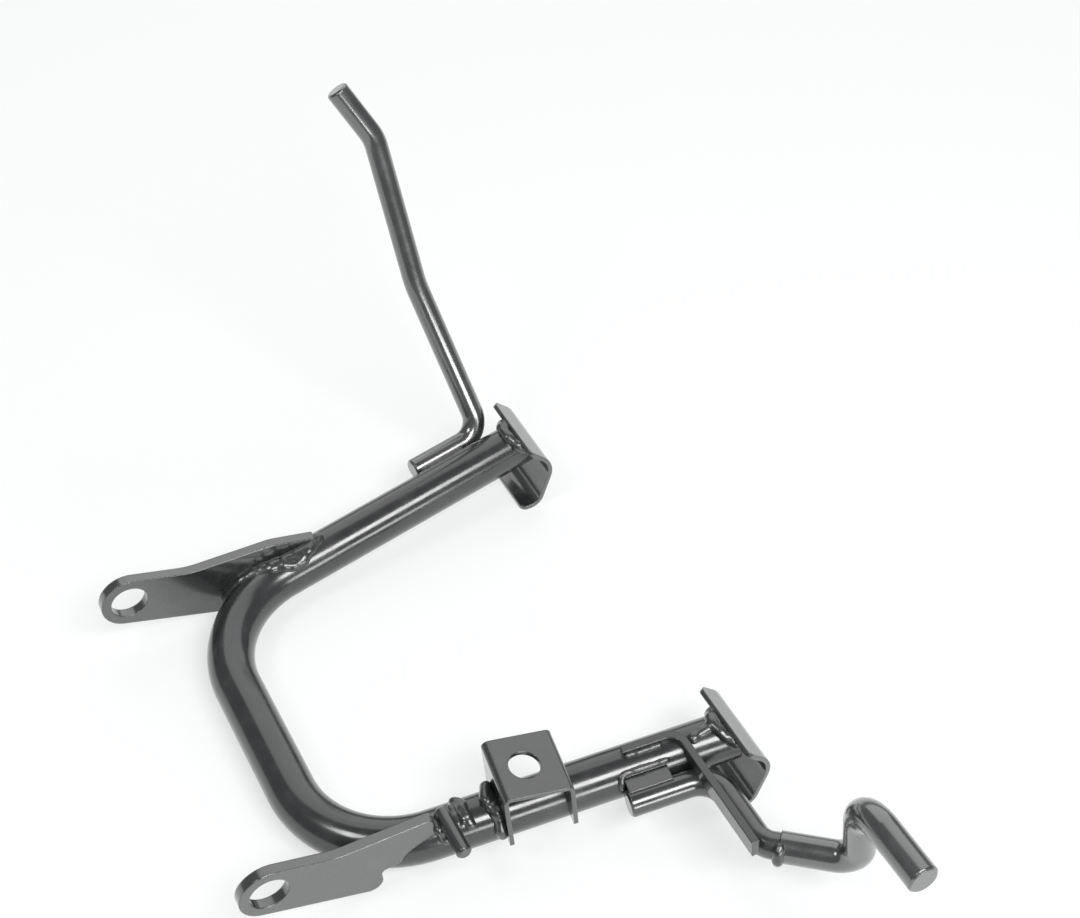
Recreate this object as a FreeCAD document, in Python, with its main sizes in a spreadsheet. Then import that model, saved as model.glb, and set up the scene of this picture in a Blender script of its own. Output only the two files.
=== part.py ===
"""Motorcycle centre stand: a welded frame of bent tube, plate, strip and round bar.

The stand frame has its origin on the pivot axis, midway between the two eyes. X runs from the
pivots towards the feet, Y towards the lever side and Z square to the plane of the bent tube.
Every piece is drawn in that frame and then tilted as one, so that the stand lies on the
underside of its crossbar and on the soles of its two feet.
"""
import FreeCAD
import Part
import Sketcher
import math
import os

Vector = FreeCAD.Vector
FAR = 1
NEAR = -1
BEAD_SIDES = 8
BEAD_ROLL = 10
BEAD_LIFT = 0.3
BEAD_START = 1.5
SAME_PLACE = 0.01

# Driving dimensions, in millimetres and degrees
SIZES = (
    ("tube_diameter", 25.4, "outside of the bent main tube"),
    ("tube_wall", 2, "wall of the main tube"),
    ("pivot_height", 26.8, "pivot axis above the plane of the tube"),
    ("crossbar_setback", 33.4, "pivot axis to the crossbar's axis"),
    ("leg_spread", 88.8, "mid-plane to a leg's axis, at the crossbar's axis"),
    ("leg_splay", 8.14, "angle by which each leg opens outwards"),
    ("leg_length", 211, "corner of the tube's axes to the square end of a leg"),
    ("bend_radius", 60, "centre-line radius of the two big bends"),
    ("lug_thickness", 5.5, "pivot lug plate"),
    ("lug_outset", 9.4, "leg's axis at the crossbar to the lug's inner face"),
    ("eye_radius", 15.3, "outer radius of the lug's eye"),
    ("eye_bore", 20, "hole for the pivot bolt or bush"),
    ("lug_top_slope", 21.8, "fall of the lug's top edge beside the eye"),
    ("lug_bottom_slope", 23.5, "fall of the lug's bottom edge"),
    ("lug_kink", 1.6, "crossbar's axis to the change of slope in the top edge"),
    ("lug_shoulder", 48.6, "crossbar's axis to the shoulder of the tongue"),
    ("lug_shoulder_drop", 2.7, "shoulder below the pivot axis"),
    ("lug_tip_slope", 18.4, "fall of the tongue's top edge past the shoulder"),
    ("lug_step", 20.6, "crossbar's axis to the step where the lug climbs on to the tube"),
    ("lug_relief", 1.8, "step's level above the tube's axis"),
    ("far_tongue", 73, "crossbar's axis to the far tongue's end"),
    ("near_tongue", 51, "crossbar's axis to the near tongue's end"),
    ("lug_kink_rounding", 45, "radius of the hollow in the top edge"),
    ("lug_shoulder_rounding", 22, "radius of the shoulder"),
    ("lug_corner_rounding", 6, "radius of the lug's lower corner"),
    ("lug_step_rounding", 2.5, "radius in the step"),
    ("lug_tip_rounding", 2.5, "radius of the tongue's end"),
    ("foot_sheet", 2.5, "foot plate"),
    ("foot_width", 48, "foot plate across the leg"),
    ("foot_edge_back", 3.5, "leg's end back to the foot's upper edge"),
    ("foot_edge_rise", 13.2, "foot's upper edge above the tube's axis"),
    ("foot_nose_ahead", 11.4, "leg's end to the corner of the nose"),
    ("foot_nose_drop", 3.6, "corner of the nose below the tube's axis"),
    ("sole_back", 1.4, "leg's end back to the corner of the sole"),
    ("sole_drop", 33, "corner of the sole's outside below the tube's axis"),
    ("sole_length", 12, "sole from its corner to its lip"),
    ("foot_nose_bend", 15, "centre-line radius of the nose"),
    ("foot_sole_bend", 8, "centre-line radius between nose and sole"),
    ("foot_corner", 4, "radius of a foot's four corners"),
    ("foot_shift", 1.3, "feet off their legs' axes, towards the lever side"),
    ("lever_diameter", 13, "foot lever rod"),
    ("lever_seat", 5, "where the rod lies against the leg, as an angle from level outwards to up"),
    ("lever_slope", 60, "rise of the rod away from the leg, as an angle from level outwards to up"),
    ("lever_start_back", 62.5, "leg's end back to the start of the rod"),
    ("lever_corner_back", 14.7, "leg's end back to the rod's bend away from the leg"),
    ("lever_rise", 97.4, "first run up from the leg to the middle bend"),
    ("lever_lean", 2.2, "backward lean of the first run"),
    ("lever_reach", 84.6, "second run, on to the top bend"),
    ("lever_swing", 10.6, "forward swing of the second run"),
    ("lever_tip", 33, "last run, on to the tip"),
    ("lever_tip_swing", 9.8, "backward swing of the last run"),
    ("lever_corner_bend", 14, "centre-line radius of the rod's corner"),
    ("lever_middle_bend", 60, "centre-line radius of the middle bend"),
    ("lever_top_bend", 24, "centre-line radius of the top bend"),
    ("rod_chamfer", 1, "chamfer at the free ends of the round bars"),
    ("arm_diameter", 14, "near arm bar"),
    ("arm_start_back", 63.7, "leg's end back to the start of the arm bar"),
    ("arm_back", 20.9, "leg's end back to the arm, seen from the side"),
    ("arm_end", 180.5, "mid-plane to the arm's outer corner"),
    ("arm_bend", 16, "centre-line radius of the arm bar's bend off the leg"),
    ("arm_end_bend", 12, "centre-line radius of the arm bar's outer bend"),
    ("arm_stub", 9, "arm's outer corner to the butt joint with the peg"),
    ("strap_thickness", 4, "arm strap, a flat bar on edge"),
    ("strap_start_back", 58.7, "leg's end back to the start of the strap"),
    ("strap_top", 16, "strap's top edge above the tube's axis"),
    ("strap_height", 11, "strap along its edge"),
    ("strap_inset", 1.5, "strap's middle inwards of the leg's axis"),
    ("strap_back", 7.2, "strap's middle behind the arm bar's axis"),
    ("strap_end", 187, "mid-plane to the strap's outer end"),
    ("strap_bend", 9, "radius of the strap's bend"),
    ("gusset_start_back", 62.2, "leg's end back to the start of the filler plate"),
    ("gusset_length", 23, "filler plate between leg and arm bar"),
    ("gusset_outward", 11.8, "filler plate's middle outwards of the leg's axis"),
    ("gusset_thickness", 3, "filler plate"),
    ("gusset_top", 8, "filler plate's top above the tube's axis"),
    ("peg_diameter", 16, "foot peg rod"),
    ("peg_run_ahead", 36, "arm's axis to the peg's upright, along X"),
    ("peg_run_out", 30.3, "arm's end to the peg's upright, along Y"),
    ("peg_drop", 1.2, "fall of the lower run towards the upright"),
    ("peg_height", 54.5, "upright between the two runs"),
    ("peg_lean", 2.5, "upright's lean back towards the pivots"),
    ("peg_length", 50, "top run from the upright to its end"),
    ("peg_climb", 2, "rise of the top run towards its end"),
    ("peg_bend", 12, "centre-line radius of the peg's lower bend"),
    ("peg_top_bend", 20, "centre-line radius of the peg's top bend"),
    ("saddle_sheet", 2.2, "saddle bracket"),
    ("saddle_start", 86, "corner to the saddle's rear flange along the leg"),
    ("saddle_length", 35.5, "saddle over its two flanges"),
    ("saddle_width", 36.4, "saddle across the leg"),
    ("saddle_rear_top", 36, "rear corner above the tube's axis"),
    ("saddle_front_top", 28.2, "front corner above the tube's axis"),
    ("saddle_bottom", 5, "flanges' ends below the tube's axis"),
    ("saddle_bend", 2.4, "centre-line radius of the saddle's folds"),
    ("saddle_corner", 2, "radius of the flanges' corners"),
    ("saddle_hole", 16, "hole in the saddle's top"),
    ("saddle_hole_back", 1.4, "middle of the top back to the hole"),
    ("pin_diameter", 8, "spring pin"),
    ("pin_along", 58.2, "corner to the spring pin along the leg"),
    ("pin_inner", 1, "spring pin inwards of the leg's axis"),
    ("pin_outer", 27, "spring pin outwards of the leg's axis"),
    ("lug_bead", 3.4, "radius of the weld between lug and tube"),
    ("foot_bead", 3, "radius of the weld over the tube's end"),
    ("lever_bead", 3, "radius of the welds beside the foot lever"),
    ("arm_bead", 3, "radius of the weld under the arm bar"),
    ("gusset_bead", 2, "radius of the weld along the filler plate"),
    ("strap_bead", 2, "radius of the weld along the strap"),
    ("peg_bead", 3.2, "radius of the weld round the peg's butt joint"),
    ("saddle_bead", 3.4, "radius of the welds at the saddle's flanges"),
    ("pin_bead", 2.8, "radius of the welds beside the spring pin"),
    ("lug_weld_first", 3.2, "lug's step to the weld's first corner"),
    ("lug_weld_second", 17.8, "lug's step to the weld's second corner"),
    ("lug_weld_bend", 6.8, "radius of the corners in the weld along the lug"),
    ("foot_weld_angle", 62, "spread of the weld over the tube's end, to each side of the top"),
    ("peg_weld_bite", 3.4, "depth of the weld round the peg's joint below the peg's outline"),
    ("peg_weld_from", -30, "start of the weld round the peg's joint, from level backwards to up"),
    ("peg_weld_to", 55, "end of the weld round the peg's joint"),
    ("saddle_rear_from", 15, "start of the rear weld round the leg, from level outwards to up"),
    ("saddle_rear_to", 80, "end of the rear weld round the leg"),
    ("saddle_front_from", 105, "start of the front weld round the leg"),
    ("saddle_front_to", 160, "end of the front weld round the leg"),
    ("saddle_weld_bite", 1.8, "depth of the flange's face inside its weld"),
    ("bead_sink", 1.5, "depth by which a bead runs into each neighbour's outline before it is cut to it"),
)

doc = FreeCAD.newDocument("centre_stand")
sheet = doc.addObject("Spreadsheet::Sheet", "Sizes")
for row, (alias, value, note) in enumerate(SIZES, start=1):
    sheet.set("A%d" % row, alias)
    sheet.set("B%d" % row, str(value))
    sheet.set("C%d" % row, note)
    sheet.setAlias("B%d" % row, alias)

# The tilt at which the crossbar's underside and the soles reach the same level
LEG_LEVEL = "leg_length * cos(leg_splay) - sole_back"
tilt_row = len(SIZES) + 1
sheet.set("A%d" % tilt_row, "rest_tilt")
sheet.set("B%d" % tilt_row, "=atan2(sole_drop; %s) - asin(tube_diameter / 2 / sqrt((%s)^2 + sole_drop^2))"
          % (LEG_LEVEL, LEG_LEVEL))
sheet.setAlias("B%d" % tilt_row, "rest_tilt")
doc.recompute()

subparts = []


def size(alias):
    """Value of a driving dimension as a plain number."""
    value = sheet.get(alias)
    return float(getattr(value, "Value", value))


def finish(name, source):
    """Sub-part of the stand, tilted to the way it rests."""
    part = doc.addObject("Part::Refine", name)
    part.Source = source
    part.Label = name
    part.Placement = FreeCAD.Placement(Vector(), FreeCAD.Rotation(Vector(0, -1, 0), size("rest_tilt")))
    part.setExpression("Placement.Rotation.Angle", "Sizes.rest_tilt")
    subparts.append(part)


def cut(name, base, *tools):
    """Base with each tool taken away in turn."""
    for number, tool in enumerate(tools, start=1):
        result = doc.addObject("Part::Cut", "%s_cut%d" % (name, number))
        result.Base = base
        result.Tool = tool
        base = result
    return base


def rounded_path(points, radii):
    """Straight runs joined by tangent arcs, with one radius for each inner point."""
    edges = []
    start = points[0]
    for before, corner, after, radius in zip(points, points[1:], points[2:], radii):
        back = (before - corner).normalize()
        ahead = (after - corner).normalize()
        half = back.getAngle(ahead) / 2
        first = corner + back * (radius / math.tan(half))
        last = corner + ahead * (radius / math.tan(half))
        middle = corner + (back + ahead).normalize() * (radius / math.sin(half) - radius)
        edges.append(Part.LineSegment(start, first).toShape())
        edges.append(Part.Arc(first, middle, last).toShape())
        start = last
    edges.append(Part.LineSegment(start, points[-1]).toShape())
    return Part.Wire(edges)


def straight(first, second):
    """Path of one straight run."""
    return Part.Wire([Part.LineSegment(first, second).toShape()])


def arc(first, middle, last):
    """Path of one arc through three points."""
    return Part.Wire([Part.Arc(first, middle, last).toShape()])


def sweep(name, section, path):
    """Solid that the section sweeps along the path."""
    spine = doc.addObject("Part::Feature", name + "_path")
    spine.Shape = path
    solid = doc.addObject("Part::Sweep", name + "_sweep")
    solid.Sections = [section]
    solid.Spine = (spine, ["Edge%d" % (number + 1) for number in range(len(path.Edges))])
    solid.Solid = True
    return solid


def path_ends(path):
    """First and last point of a path."""
    first, last = path.Edges[0], path.Edges[-1]
    return first.valueAt(first.FirstParameter), last.valueAt(last.LastParameter)


def square_to(path, roll=0):
    """Placement at the start of a path, square to it and rolled round it by an angle."""
    edge = path.Edges[0]
    facing = FreeCAD.Rotation(Vector(0, 0, 1), edge.tangentAt(edge.FirstParameter))
    turn = facing * FreeCAD.Rotation(Vector(0, 0, 1), roll)
    return FreeCAD.Placement(edge.valueAt(edge.FirstParameter), turn)


def round_bar(name, path, radius):
    """Round bar along a path, its radius bound to the sheet."""
    section = doc.addObject("Part::Circle", name + "_section")
    section.setExpression("Radius", radius)
    section.Placement = square_to(path)
    return sweep(name, section, path)


def strip(name, path, across, width, thickness):
    """Flat strip bent along a path: width along the direction across, thickness square to it."""
    section = doc.addObject("Part::Plane", name + "_section")
    section.setExpression("Length", width)
    section.setExpression("Width", thickness)
    doc.recompute()
    edge = path.Edges[0]
    start = edge.valueAt(edge.FirstParameter)
    tangent = edge.tangentAt(edge.FirstParameter)
    turn = FreeCAD.Rotation(across, tangent.cross(across), tangent, "XZY")
    corner = turn.multVec(Vector(section.Length.Value, section.Width.Value, 0)) / 2
    section.Placement = FreeCAD.Placement(start - corner, turn)
    return sweep(name, section, path)


def blunted(name, bar, *ends):
    """Round bar with a chamfer round each of the given ends."""
    doc.recompute()
    rims = [number for number, edge in enumerate(bar.Shape.Edges, start=1)
            if isinstance(edge.Curve, Part.Circle)
            and min(edge.Curve.Center.distanceToPoint(end) for end in ends) < SAME_PLACE]
    chamfer = doc.addObject("Part::Chamfer", name + "_blunted")
    chamfer.Base = bar
    chamfer.Edges = [(rim, size("rod_chamfer"), size("rod_chamfer")) for rim in rims]
    return chamfer


def cornered(name, bar, path, width, radius):
    """Flat strip with the four corners of its two ends rounded."""
    doc.recompute()
    corners = [number for number, edge in enumerate(bar.Shape.Edges, start=1)
               if any(abs(edge.CenterOfMass.distanceToPoint(end) - size(width) / 2) < SAME_PLACE
                      for end in path_ends(path))]
    fillet = doc.addObject("Part::Fillet", name + "_cornered")
    fillet.Base = bar
    fillet.Edges = [(corner, size(radius), size(radius)) for corner in corners]
    return fillet


def leg_point(side, along, outward=0.0, up=0.0):
    """Point beside a leg: along it from the corner of the tube's axes, outwards and up from its axis."""
    splay = math.radians(size("leg_splay"))
    level = size("crossbar_setback") + along * math.cos(splay) - outward * math.sin(splay)
    spread = size("leg_spread") + along * math.sin(splay) + outward * math.cos(splay)
    return Vector(level, side * spread, up - size("pivot_height"))


def bead(name, path, radius, *neighbours):
    """Weld bead of a few flat sides, filling the corner between its neighbours, given back untilted."""
    section = doc.addObject("Part::RegularPolygon", name + "_section")
    section.Polygon = BEAD_SIDES
    section.setExpression("Circumradius", radius)
    section.Placement = square_to(path, BEAD_ROLL)
    trimmed = cut(name, sweep(name, section, path), *neighbours)
    finish(name, trimmed)
    return trimmed


def inset(corners, depth):
    """Corners of an open outline moved to its right by a depth, as for the middle of a bent sheet."""
    sides = []
    for (first, second) in zip(corners, corners[1:]):
        run = (second - first).normalize()
        sides.append(Vector(run.y, -run.x))
    moved = [corners[0] + sides[0] * depth]
    for corner, before, after in zip(corners[1:], sides, sides[1:]):
        moved.append(corner + (before + after) * (depth / (1 + before.dot(after))))
    moved.append(corners[-1] + sides[-1] * depth)
    return moved


# Main tube: one length of tube bent into a U, its ends cut back to the feet's upper flanges
TUBE_RADIUS = "Sizes.tube_diameter / 2"
tube_radius = size("tube_diameter") / 2
leg_end = leg_point(FAR, size("leg_length"))
tube_path = rounded_path(
    [leg_end, leg_point(FAR, 0), leg_point(NEAR, 0), leg_point(NEAR, size("leg_length"))],
    [size("bend_radius")] * 2)
tube_skin = round_bar("tube_skin", tube_path, TUBE_RADIUS)
tube_bore = round_bar("tube_bore", tube_path, TUBE_RADIUS + " - Sizes.tube_wall")

# Foot plates: one strip for each leg, bent round the tube's end, its sole flat on the ground
tilt = math.radians(size("rest_tilt"))
edge_corner = Vector(leg_end.x - size("foot_edge_back"), leg_end.z + size("foot_edge_rise"))
nose_corner = Vector(leg_end.x + size("foot_nose_ahead"), leg_end.z - size("foot_nose_drop"))
sole_corner = Vector(leg_end.x - size("sole_back"), leg_end.z - size("sole_drop"))
sole_lip = sole_corner + Vector(-math.cos(tilt), math.sin(tilt)) * size("sole_length")
foot_outline = [edge_corner, nose_corner, sole_corner, sole_lip]
foot_middle = inset(foot_outline, size("foot_sheet") / 2)
feet = {}
ends = {}
for side, name in ((FAR, "far"), (NEAR, "near")):
    spread = side * leg_end.y + size("foot_shift")
    path = rounded_path([Vector(point.x, spread, point.y) for point in foot_middle],
                        [size("foot_nose_bend"), size("foot_sole_bend")])
    plate = strip(name + "_foot", path, Vector(0, 1, 0), "Sizes.foot_width", "Sizes.foot_sheet")
    feet[side] = cornered(name + "_foot", plate, path, "foot_width", "foot_corner")
    finish(name + "_foot_plate", feet[side])

    # Block past the inside of the upper flange, where the tube's end is cut away
    flange = (nose_corner - edge_corner).normalize()
    inner_edge = inset(foot_outline, size("foot_sheet"))[0] - flange * size("tube_diameter")
    block = doc.addObject("Part::Box", name + "_tube_end")
    block.setExpression("Length", "Sizes.foot_width + Sizes.tube_diameter")
    block.setExpression("Width", "Sizes.foot_width")
    block.setExpression("Height", "Sizes.tube_diameter")
    slope = FreeCAD.Rotation(Vector(flange.x, 0, flange.y), Vector(0, 1, 0),
                             Vector(-flange.y, 0, flange.x), "XYZ")
    block.Placement = FreeCAD.Placement(
        Vector(inner_edge.x, spread - size("foot_width") / 2, inner_edge.y), slope)
    ends[side] = block
finish("main_tube", cut("main_tube", tube_skin, tube_bore, ends[FAR], ends[NEAR]))


def lug_body(name, side, tongue):
    """Flat plate of a pivot lug, from its eye to the end of the tongue over the tube."""
    body = doc.addObject("PartDesign::Body", name + "_plate")
    plane = [feature for feature in body.Origin.OriginFeatures if feature.Role == "XZ_Plane"][0]
    crossbar = "Sizes.crossbar_setback + Sizes."
    top_tangent = ("Sizes.eye_radius * sin(Sizes.lug_top_slope)",
                   "Sizes.eye_radius * cos(Sizes.lug_top_slope)")
    bottom_tangent = ("-Sizes.eye_radius * sin(Sizes.lug_bottom_slope)",
                      "-Sizes.eye_radius * cos(Sizes.lug_bottom_slope)")
    kink = (crossbar + "lug_kink",
            "%s - (%slug_kink - %s) * tan(Sizes.lug_top_slope)" % (top_tangent[1], crossbar, top_tangent[0]))
    shoulder = (crossbar + "lug_shoulder", "-Sizes.lug_shoulder_drop")
    end_top = (crossbar + tongue,
               "-Sizes.lug_shoulder_drop - (Sizes.%s - Sizes.lug_shoulder) * tan(Sizes.lug_tip_slope)"
               % tongue)
    relief = "-Sizes.pivot_height + Sizes.lug_relief"
    end_bottom = (crossbar + tongue, relief)
    step = (crossbar + "lug_step", relief)
    lower = (crossbar + "lug_step", "%s - (%slug_step - (%s)) * tan(Sizes.lug_bottom_slope)"
             % (bottom_tangent[1], crossbar, bottom_tangent[0]))
    corners = (top_tangent, kink, shoulder, end_top, end_bottom, step, lower, bottom_tangent)
    outline = body.newObject("Sketcher::SketchObject", name + "_outline")
    outline.AttachmentSupport = (plane, [""])
    outline.MapMode = "FlatFace"
    outset = "%d * (Sizes.leg_spread + Sizes.lug_outset)" % -side
    outline.setExpression("AttachmentOffset.Base.z", outset)
    values = [tuple(float(outline.evalExpression(text)) for text in corner) for corner in corners]
    count = len(corners)
    for number in range(count):
        first = Vector(*values[number], 0)
        second = Vector(*values[(number + 1) % count], 0)
        outline.addGeometry(Part.LineSegment(first, second))
    for number in range(count):
        outline.addConstraint(Sketcher.Constraint("Coincident", number, 2, (number + 1) % count, 1))
        for kind, text, value in zip(("DistanceX", "DistanceY"), corners[number], values[number]):
            index = outline.addConstraint(Sketcher.Constraint(kind, -1, 1, number, 1, value))
            label = "corner%d_%s" % (number, kind[-1])
            outline.renameConstraint(index, label)
            outline.setExpression("Constraints." + label, text)
    eye = body.newObject("Sketcher::SketchObject", name + "_eye")
    eye.AttachmentSupport = (plane, [""])
    eye.MapMode = "FlatFace"
    eye.setExpression("AttachmentOffset.Base.z", outset)
    eye.addGeometry(Part.Circle(Vector(), Vector(0, 0, 1), size("eye_radius")))
    eye.addConstraint(Sketcher.Constraint("Coincident", 0, 3, -1, 1))
    index = eye.addConstraint(Sketcher.Constraint("Radius", 0, size("eye_radius")))
    eye.renameConstraint(index, "eye_radius")
    eye.setExpression("Constraints.eye_radius", "Sizes.eye_radius")
    for sketch in (outline, eye):
        pad = body.newObject("PartDesign::Pad", sketch.Name + "_pad")
        pad.Profile = sketch
        pad.Reversed = side == FAR
        pad.setExpression("Length", "Sizes.lug_thickness")
        body.Tip = pad
    doc.recompute()
    roundings = ((1, "lug_kink_rounding"), (2, "lug_shoulder_rounding"), (3, "lug_tip_rounding"),
                 (5, "lug_step_rounding"), (6, "lug_corner_rounding"))
    for number, rounding in roundings:
        base = body.Tip
        level, height = values[number]
        found = ["Edge%d" % (index + 1) for index, edge in enumerate(base.Shape.Edges)
                 if all(abs(vertex.X - level) + abs(vertex.Z - height) < SAME_PLACE
                        for vertex in edge.Vertexes)]
        fillet = body.newObject("PartDesign::Fillet", "%s_%s" % (name, rounding))
        fillet.Base = (base, found)
        fillet.setExpression("Radius", "Sizes." + rounding)
        body.Tip = fillet
        doc.recompute()
    hole = doc.addObject("Part::Cylinder", name + "_bore")
    hole.setExpression("Radius", "Sizes.eye_bore / 2")
    hole.setExpression("Height", "Sizes.lug_thickness * 3")
    hole.Placement = FreeCAD.Placement(
        Vector(0, side * (size("leg_spread") + size("lug_outset") - size("lug_thickness")), 0),
        FreeCAD.Rotation(Vector(1, 0, 0), -90 * side))
    return cut(name, body, hole, tube_skin)


lugs = {FAR: lug_body("far_lug", FAR, "far_tongue"), NEAR: lug_body("near_lug", NEAR, "near_tongue")}
finish("far_pivot_lug", lugs[FAR])
finish("near_pivot_lug", lugs[NEAR])


# Foot lever: a round bar lying along the far leg, bent up and away from it
lever_radius = size("lever_diameter") / 2
lever_seat = math.radians(size("lever_seat"))
lever_slope = math.radians(size("lever_slope"))
lever_base = tube_radius + lever_radius


def lever_point(along, rise=0.0):
    """Point of the foot lever: along the leg, and up from the rod's seat at the lever's slope."""
    return leg_point(FAR, along, lever_base * math.cos(lever_seat) + rise * math.cos(lever_slope),
                     lever_base * math.sin(lever_seat) + rise * math.sin(lever_slope))


lever_start = size("leg_length") - size("lever_start_back")
lever_corner = size("leg_length") - size("lever_corner_back")
along, rise = lever_corner, 0
lever_points = [lever_point(lever_start), lever_point(along)]
for ahead, up in ((-size("lever_lean"), "lever_rise"), (size("lever_swing"), "lever_reach"),
                  (-size("lever_tip_swing"), "lever_tip")):
    along += ahead
    rise += size(up)
    lever_points.append(lever_point(along, rise))
lever_path = rounded_path(lever_points, [size("lever_corner_bend"), size("lever_middle_bend"),
                                         size("lever_top_bend")])
lever_bar = round_bar("lever", lever_path, "Sizes.lever_diameter / 2")
lever = blunted("lever", lever_bar, *path_ends(lever_path))
finish("foot_lever_rod", lever)

# Near arm: a round bar along the outside of the near leg, bent outwards
arm_radius = size("arm_diameter") / 2
arm_level = leg_end.x - size("arm_back")
splay = math.radians(size("leg_splay"))


def meet(level, outward):
    """Distance along a leg at which a line beside it reaches a level along X."""
    return (level - size("crossbar_setback") + outward * math.sin(splay)) / math.cos(splay)


arm_outward = tube_radius + arm_radius
arm_corner = leg_point(NEAR, meet(arm_level, arm_outward), arm_outward)
arm_tip = Vector(arm_level, -size("arm_end"), leg_end.z)
peg_foot = arm_tip + Vector(size("peg_run_ahead"), -size("peg_run_out"), -size("peg_drop"))
peg_run = (peg_foot - arm_tip).normalize()
peg_joint = arm_tip + peg_run * size("arm_stub")
arm_start = size("leg_length") - size("arm_start_back")
arm_path = rounded_path([leg_point(NEAR, arm_start, arm_outward), arm_corner, arm_tip, peg_joint],
                        [size("arm_bend"), size("arm_end_bend")])
arm_bar = round_bar("arm", arm_path, "Sizes.arm_diameter / 2")
arm = blunted("arm", arm_bar, path_ends(arm_path)[0])
finish("arm_bar", arm)

# Strap: a flat bar on edge over the near leg, bent to stand on the arm bar's inner flank
strap_level = arm_level - size("strap_back")
strap_up = size("strap_top") - size("strap_height") / 2
strap_start = size("leg_length") - size("strap_start_back")
strap_corner = leg_point(NEAR, meet(strap_level, -size("strap_inset")), -size("strap_inset"), strap_up)
strap_path = rounded_path(
    [leg_point(NEAR, strap_start, -size("strap_inset"), strap_up), strap_corner,
     Vector(strap_level, -size("strap_end"), strap_corner.z)],
    [size("strap_bend")])
strap_bar = strip("strap", strap_path, Vector(0, 0, 1), "Sizes.strap_height", "Sizes.strap_thickness")
strap = cut("strap", strap_bar, tube_skin, arm)
finish("arm_strap", strap)

# Filler plate between the near leg and the arm bar
gusset_up = size("gusset_top") - size("gusset_thickness") / 2
gusset_start = size("leg_length") - size("gusset_start_back")
gusset_end = gusset_start + size("gusset_length")
gusset_path = straight(leg_point(NEAR, gusset_start, size("gusset_outward"), gusset_up),
                       leg_point(NEAR, gusset_end, size("gusset_outward"), gusset_up))
outwards = (leg_point(NEAR, 0, 1) - leg_point(NEAR, 0)).normalize()
gusset_bar = strip("gusset", gusset_path, outwards, "Sizes.arm_diameter", "Sizes.gusset_thickness")
gusset = cut("gusset", gusset_bar, tube_skin, arm, strap)
finish("arm_gusset", gusset)

# Foot peg: a round bar with two bends, butted against the arm's end
peg_head = peg_foot + Vector(-size("peg_lean"), 0, size("peg_height"))
peg_tip = peg_head + Vector(0, -size("peg_length"), size("peg_climb"))
peg_path = rounded_path([peg_joint, peg_foot, peg_head, peg_tip], [size("peg_bend"), size("peg_top_bend")])
peg_bar = round_bar("peg", peg_path, "Sizes.peg_diameter / 2")
peg = blunted("peg", peg_bar, peg_tip)
finish("peg_rod", peg)

# Saddle bracket: a folded sheet astride the near leg, with a hole in its top
saddle_front = size("saddle_start") + size("saddle_length")
saddle_outline = [Vector(size("saddle_start"), -size("saddle_bottom")),
                  Vector(size("saddle_start"), size("saddle_rear_top")),
                  Vector(saddle_front, size("saddle_front_top")),
                  Vector(saddle_front, -size("saddle_bottom"))]
saddle_middle = inset(saddle_outline, size("saddle_sheet") / 2)
saddle_path = rounded_path([leg_point(NEAR, point.x, 0, point.y) for point in saddle_middle],
                           [size("saddle_bend")] * 2)
saddle_strip = strip("saddle", saddle_path, outwards, "Sizes.saddle_width", "Sizes.saddle_sheet")
saddle_bar = cornered("saddle", saddle_strip, saddle_path, "saddle_width", "saddle_corner")
saddle_hole = doc.addObject("Part::Cylinder", "saddle_hole")
saddle_hole.setExpression("Radius", "Sizes.saddle_hole / 2")
saddle_hole.setExpression("Height", "Sizes.saddle_hole")
rear, front = [leg_point(NEAR, point.x, 0, point.y) for point in saddle_outline[1:3]]
top_run = (front - rear).normalize()
top_normal = top_run.cross(outwards).normalize()
hole_middle = (rear + front) / 2 - top_run * size("saddle_hole_back")
saddle_hole.Placement = FreeCAD.Placement(
    hole_middle - top_normal * size("saddle_hole") / 2, FreeCAD.Rotation(Vector(0, 0, 1), top_normal))
saddle = cut("saddle", saddle_bar, tube_skin, saddle_hole)
finish("saddle_bracket", saddle)

# Spring pin: a short round bar across the top of the near leg
pin_up = tube_radius + size("pin_diameter") / 2
pin_middle = leg_point(NEAR, size("pin_along"), 0, pin_up)
pin_path = straight(pin_middle + Vector(0, size("pin_inner"), 0),
                    pin_middle - Vector(0, size("pin_outer"), 0))
pin_bar = round_bar("pin", pin_path, "Sizes.pin_diameter / 2")
pin = blunted("pin", pin_bar, *path_ends(pin_path))
finish("spring_pin", pin)


def ring(side, along, start, stop, bead_radius):
    """Arc round a leg, from one angle to another, counted from level outwards to up."""
    reach = tube_radius + size(bead_radius) - size("bead_sink")
    angles = [math.radians(angle) for angle in (start, (start + stop) / 2, stop)]
    return arc(*[leg_point(side, along, reach * math.cos(angle), reach * math.sin(angle))
                 for angle in angles])


def crevice(round_radius, bead_radius):
    """Distance from the leg's axis, and angle off the other bar, of a bead between leg and bar."""
    grow = size(bead_radius) - size("bead_sink")
    near_side = tube_radius + grow
    far_side = round_radius + grow
    base = tube_radius + round_radius
    return near_side, math.acos((near_side ** 2 + base ** 2 - far_side ** 2) / (2 * near_side * base))


# Weld between each lug's inner face and the tube: up round the bend, then along the tongue
bend_reach = size("bend_radius") * math.tan((math.pi / 2 - splay) / 2)
lug_face = size("leg_spread") + size("lug_outset")


def tube_height(level, spread):
    """Height of the tube's surface above its axis, at a place seen from above."""
    ahead = level - size("crossbar_setback")
    aside = spread - size("leg_spread")
    if level > leg_point(FAR, bend_reach).x:
        off = aside * math.cos(splay) - ahead * math.sin(splay)
    else:
        off = math.hypot(ahead - size("bend_radius"), aside + bend_reach) - size("bend_radius")
    return math.sqrt(max(tube_radius ** 2 - off ** 2, 0))


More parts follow.
